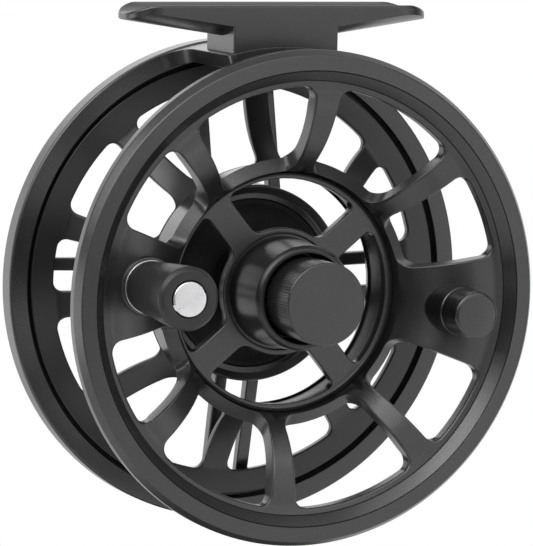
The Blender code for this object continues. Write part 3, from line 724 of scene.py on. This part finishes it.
addPiece("frame_hoop", turnedPiece(hoopSpec), reelFrame, "frame", satin, ("frame_ring",))
addPiece("frame_bridge", makeBridge(), reelFrame, "frame", satin)
addPiece("frame_cup", makeFrameBack(), reelFrame, "frame", satin, ("frame_back",))
print("frame made")


# rod foot: a lofted saddle on a pedestal

footSpec = {"halfLength": 30.2, "halfDepth": 6.55, "straight": 23.8, "corner": 5.4,
            "faceRoot": 3.9, "faceTip": 0.95, "bulge": 2.0, "dish": 1.9, "land": 0.3, "rounding": 0.45,
            "middleSteps": 18, "tipSteps": 12, "edgeSteps": 6, "dishSteps": 8, "underSteps": 10}
pedestalSpec = {"half": 10.56, "seat": 45.74, "inset": 0.01, "overlap": 0.06, "rounding": 0.4, "steps": 24}


def footLoop(x):
    # a slice across the foot: from under its middle round one edge and over the dish, then mirrored
    f = footSpec
    root = pedestalSpec["half"]
    past = max(0.0, abs(x) - f["straight"]) / (f["halfLength"] - f["straight"])
    width = f["halfDepth"] - f["corner"] * (1 - sqrt(max(0.0, 1 - past ** 2)))
    slope = max(0.0, (abs(x) - root) / (f["halfLength"] - root))
    face = lerp(f["faceRoot"], f["faceTip"], slope)

    def saddle(y):
        return -f["dish"] * max(0.0, 1 - (y / (f["halfDepth"] - f["land"])) ** 2)

    def belly(y):
        return -face - f["bulge"] * (1 - (y / f["halfDepth"]) ** 2)

    def corner(t):
        return (width - f["rounding"] * (1 - cos(t)), saddle(width) - f["rounding"] * (1 - sin(t)))

    across = [width * (1 - i / f["underSteps"]) for i in range(f["underSteps"] + 1)]
    under = [(y, belly(y)) for y in reversed(across)]
    edge = [corner(t) for t in quarterTurn(f["edgeSteps"])]
    inwards = [1 - i / f["dishSteps"] for i in range(f["dishSteps"] + 1)]
    dish = [((width - f["rounding"]) * share, saddle(width * share)) for share in inwards]
    right = under + edge + dish
    left = [(-y, z) for y, z in right[::-1]]
    return [(x, y, z) for y, z in right[:-1] + left[:-1]]


def addPedestal(bm):
    # its front is drawn with the ring's curve below, and extruded to the back
    p = pedestalSpec
    half, depth = p["half"], footSpec["halfDepth"] - p["inset"]
    top = p["overlap"] - footSpec["faceRoot"]
    across = [lerp(-half, half, i / p["steps"]) for i in range(p["steps"] + 1)]
    curve = [(x, sqrt(p["seat"] ** 2 - x * x) + axisZ / mm) for x in across]
    face = bm.faces.new([bm.verts.new((x, -depth, z)) for x, z in curve + [(half, top), (-half, top)]])
    grown = bmesh.ops.extrude_face_region(bm, geom=[face], use_keep_orig=True)
    bmesh.ops.translate(bm, vec=(0, 2 * depth, 0), verts=newVerts(grown))

    def onCorner(v):
        return abs(abs(v.co.x) - half) < touchGap and abs(abs(v.co.y) - depth) < touchGap

    def rise(e):
        return abs(e.verts[0].co.z - e.verts[1].co.z)

    edges = [e for e in bm.edges if all(onCorner(v) for v in e.verts)]
    bevelEdges(bm, [e for e in edges if rise(e) > p["rounding"]], p["rounding"])


def makeFoot():
    f = footSpec
    middle = [lerp(0, f["straight"], i / f["middleSteps"]) for i in range(f["middleSteps"])]
    tip = [lerp(f["straight"], f["halfLength"], sin(t)) for t in quarterTurn(f["tipSteps"])]
    right = middle + tip
    stations = [-x for x in reversed(right[1:])] + right
    bm = bmesh.new()
    for end in loftRows(bm, [footLoop(x) for x in stations]):
        bm.faces.new(end)
    addPedestal(bm)
    return bm


addPiece("rod_foot", makeFoot(), footFrame, "frame", satin, ("reel_foot",))
print("foot made")


# drag side: cover in the cup, scalloped knob and its screw

coverCove = curvePoints((13.3, 27.5), (14.3, 27.4), (15.1, 26.8), steps=8)
coverSpec = {"section": [(5.8, 27.5)] + coverCove + [(15.9, 26.75), (15.9, 28.1), (5.8, 28.1)],
             "steps": 128, "rounding": 0.05}
scallopSpec = {"lobes": 10, "steps": 24, "deep": 1.0, "from": 10.2}  # steps to a lobe; sunk past a radius
dialSpec = {"section": [(11.6, 40.0), (11.6, 45.5), (10.6, 46.6), (4.6, 46.6), (4.6, 44.8), (2.1, 44.8),
                        (2.1, 43.4), (6.4, 43.4), (6.4, 41.6), (9.9, 41.6), (9.9, 40.0)],
            "steps": scallopSpec["lobes"] * scallopSpec["steps"], "rounding": 0.3}
dialScrewTop = 46.4
dialScrewSpec = {"section": [(0, 39.4), (1.6, 39.4), (1.6, 45.1), (4.2, 45.1), (4.2, 45.9),
                             (3.6, dialScrewTop), (0, dialScrewTop)],
                 "steps": 96, "rounding": 0.12,
                 "slot": {"top": dialScrewTop, "long": 16.8, "wide": 1.0, "deep": 0.7, "turn": 20}}


def makeDragKnob():
    bm = turnedPiece(dialSpec)
    for v in bm.verts:
        r = hypot(v.co.x, v.co.z)
        if r > scallopSpec["from"]:
            turn = Vector((v.co.x, v.co.z)).angle_signed(Vector((1, 0)))
            sunk = 1 - scallopSpec["deep"] * max(0.0, cos(scallopSpec["lobes"] * turn)) / r
            v.co.x, v.co.z = v.co.x * sunk, v.co.z * sunk
    return bm


addPiece("cup_cover", turnedPiece(coverSpec), reelFrame, "frame", rubber,
         ("drag_cover", "cover_snap_ring"))
addPiece("drag_dial", makeDragKnob(), reelFrame, "drag_knob", satin, ("drag_knob",))
addPiece("drag_dial_screw", makeSlottedScrew(dialScrewSpec), reelFrame, "frame", steel,
         ("drag_knob_screw",), screwSharp)
print("drag side made")


# pieces that stay as they are get a finish

innerFinish = {"bright_steel": steel, "bearing_brass": brass, "drag_carbon": carbon, "seal_rubber": rubber,
               "gloss_black": gloss, "anodised_black": satin, "handle_plastic": handleBlack}
darkSteel = ("cover_snap_ring", "counterweight_screw", "foot_screw_left", "foot_screw_right")
for name, node in frame["nodes"].items():
    for index, old in enumerate(node.data.materials):
        slot = old.name.split(".")[0]
        node.data.materials[index] = oxide if name in darkSteel else innerFinish.get(slot, steel)
print("inner pieces finished")


# camera at the photograph's angle

cameraSpec = {"azimuth": -23.686, "elevation": 6.5, "roll": 1.3157, "distance": 809.01, "right": -7.666,
              "up": 4.850, "pixels": 4400, "height": 546, "sensor": 36, "clip": (0.05, 20)}


def makeCamera():
    c = cameraSpec
    azimuth, elevation, roll = (radians(c[key]) for key in ("azimuth", "elevation", "roll"))
    back = Vector((sin(azimuth) * cos(elevation), -cos(azimuth) * cos(elevation), sin(elevation)))
    level = Vector((0, 0, 1)).cross(back).normalized()
    rise = back.cross(level)
    right = level * cos(roll) + rise * sin(roll)
    up = rise * cos(roll) - level * sin(roll)
    data = bpy.data.cameras.new("photo_camera")
    data.sensor_width = c["sensor"]
    data.lens = c["pixels"] * c["sensor"] / c["height"]
    data.clip_start, data.clip_end = c["clip"]
    camera = bpy.data.objects.new("photo_camera", data)
    bpy.context.scene.collection.objects.link(camera)
    spot = Vector((0, faceY, axisZ)) + (back * c["distance"] + right * c["right"] + up * c["up"]) * mm
    camera.matrix_world = Matrix.Translation(spot) @ Matrix((right, up, back)).transposed().to_4x4()
    bpy.context.scene.camera = camera


makeCamera()


# plain studio: a tent of soft panels, a white surround and a pale floor below the reel

tentSpec = {"distance": 1.0, "size": 0.6, "panels": {  # the way to each panel, and its watts
    "left": ((-0.97, 0.2, -0.17), 2.9),
    "left_high": ((-0.8, -0.15, 0.58), 2.8),
    "high_left": ((-0.55, -0.42, 0.72), 3.0),
    "top_left": ((-0.2, -0.36, 0.91), 1.6),
    "high_right": ((0.35, -0.55, 0.75), 0.9),
    "front_left": ((-0.75, -0.65, 0.1), 0.5),
    "front_high_left": ((-0.27, -0.7, 0.56), 2.1),
    "front_high": ((0.05, -0.9, 0.4), 0.75),
    "right_high": ((0.45, -0.78, 0.43), 1.05),
    "far_right": ((0.73, -0.67, -0.12), 0.9),
    "front_right": ((0.4, -0.91, -0.12), 0.78),
    "front": ((0.0, -0.99, -0.12), 0.35),
    "front_low": ((0.3, -0.8, -0.5), 0.5),
    "right": ((1.0, 0.1, 0.1), 0.4),
    "back": ((0.1, 0.93, 0.36), 1.0),
    "back_left": ((-0.45, 0.88, -0.1), 0.6)}}
surroundSpec = {"fill": 0.5, "back": (0.25, 0.968, 0.0), "backSpan": (0.1, 0.7),
                "top": 0.45, "topSpan": (0.3, 0.85), "least": 0.08}
floorSpec = {"drop": 0.06, "radius": 0.27, "segments": 96, "glow": 0.6,
             "dark": (0.86, 0.86, 0.86), "light": (0.9, 0.9, 0.9), "grain": 60, "rough": 0.7, "specular": 0.1,
             "shade": (0.04, 0.075), "shadeAt": (-0.01, 0.035, 0.0), "least": 0.1}  # painted shadow: in reflections the floor glows dimmer under the reel


def makeTent():
    for name, (way, watts) in tentSpec["panels"].items():
        data = bpy.data.lights.new(name + "_panel", "AREA")
        data.size = tentSpec["size"]
        data.energy = watts
        lamp = bpy.data.objects.new(name + "_panel", data)
        out = Vector(way).normalized()
        lamp.location = Vector((0, 0, axisZ)) + out * tentSpec["distance"]
        lamp.rotation_euler = (-out).to_track_quat("-Z", "Y").to_euler()
        lamp.visible_camera = False
        bpy.context.scene.collection.objects.link(lamp)


def smoothNode(tree, source, span):
    ease = tree.nodes.new("ShaderNodeMapRange")
    ease.interpolation_type = "SMOOTHSTEP"
    ease.inputs["From Min"].default_value, ease.inputs["From Max"].default_value = span
    tree.links.new(source, ease.inputs["Value"])
    return ease.outputs["Result"]


def mathNode(tree, operation, first, second):
    node = tree.nodes.new("ShaderNodeMath")
    node.operation = operation
    for socket, value in zip(node.inputs, (first, second)):
        if isinstance(value, (int, float)):
            socket.default_value = value
        else:
            tree.links.new(value, socket)
    return node.outputs["Value"]


def largest(tree, first, *others):
    for other in others:
        first = mathNode(tree, "MAXIMUM", first, other)
    return first


def vectorNode(tree, operation, source, fixed):
    node = tree.nodes.new("ShaderNodeVectorMath")
    node.operation = operation
    node.inputs[1].default_value = fixed
    tree.links.new(source, node.inputs[0])
    return node.outputs["Value"]


def makeSurround():
    # the lens sees plain white; reflections see that white behind the reel, and a dimmer room elsewhere
    s = surroundSpec
    world = bpy.data.worlds.new("white_surround")
    bpy.context.scene.world = world
    world.use_nodes = True
    tree = world.node_tree
    sky = tree.nodes["Background"]
    sky.inputs["Color"].default_value = (1, 1, 1, 1)
    way = tree.nodes.new("ShaderNodeTexCoord").outputs["Object"]
    parts = tree.nodes.new("ShaderNodeSeparateXYZ")
    tree.links.new(way, parts.inputs["Vector"])
    back = smoothNode(tree, vectorNode(tree, "DOT_PRODUCT", way, s["back"]), s["backSpan"])
    top = mathNode(tree, "MULTIPLY", smoothNode(tree, parts.outputs["Z"], s["topSpan"]), s["top"])
    room = largest(tree, back, top, s["least"])
    path = tree.nodes.new("ShaderNodeLightPath").outputs
    shine = mathNode(tree, "MULTIPLY", path["Is Glossy Ray"], room)
    fill = mathNode(tree, "MULTIPLY", path["Is Diffuse Ray"], s["fill"])
    strength = largest(tree, path["Is Camera Ray"], path["Is Transmission Ray"], shine, fill)
    tree.links.new(strength, sky.inputs["Strength"])


def floorMaterial():
    # takes the reel's shadow, and glows for the lens and in reflections, so that it is about as white as the
    # surround;
    # in reflections its glow carries a painted shadow, a darker patch under the reel
    f = floorSpec
    material, tree, shader = newMaterial("pale_floor")
    grain = noiseNode(tree, f["grain"], noiseSpec["grainDetail"])
    tree.links.new(rampNode(tree, grain, f["dark"], f["light"]), shader.inputs["Base Color"])
    shader.inputs["Roughness"].default_value = f["rough"]
    shader.inputs["Specular IOR Level"].default_value = f["specular"]
    glow = tree.nodes.new("ShaderNodeEmission")
    mix = tree.nodes.new("ShaderNodeMixShader")
    path = tree.nodes.new("ShaderNodeLightPath").outputs
    seen = largest(tree, path["Is Camera Ray"], path["Is Transmission Ray"])
    place = tree.nodes.new("ShaderNodeTexCoord").outputs["Object"]
    # painted shadow: the glow that reflections see is darker within a few centimetres of a point under the
    # reel
    away = vectorNode(tree, "DISTANCE", place, f["shadeAt"])
    paintedShadowGlow = largest(tree, smoothNode(tree, away, f["shade"]), f["least"])
    shine = mathNode(tree, "MULTIPLY", path["Is Glossy Ray"], paintedShadowGlow)
    tree.links.new(largest(tree, seen, shine), glow.inputs["Strength"])
    share = mathNode(tree, "MULTIPLY", seen, f["glow"])
    tree.links.new(largest(tree, share, path["Is Glossy Ray"]), mix.inputs["Fac"])
    tree.links.new(shader.outputs[0], mix.inputs[1])
    tree.links.new(glow.outputs[0], mix.inputs[2])
    tree.links.new(mix.outputs[0], tree.nodes["Material Output"].inputs["Surface"])
    return material


def makeFloor():
    bm = bmesh.new()
    bmesh.ops.create_circle(bm, cap_ends=True, segments=floorSpec["segments"], radius=floorSpec["radius"])
    mesh = bpy.data.meshes.new("pale_floor")
    bm.to_mesh(mesh)
    bm.free()
    mesh.materials.append(floorMaterial())
    floor = bpy.data.objects.new("pale_floor", mesh)
    floor.location.z = cadBox[0].z - floorSpec["drop"]
    bpy.context.scene.collection.objects.link(floor)


makeTent()
makeSurround()
makeFloor()
bpy.context.scene.view_settings.view_transform = "Standard"
print("camera and studio made")
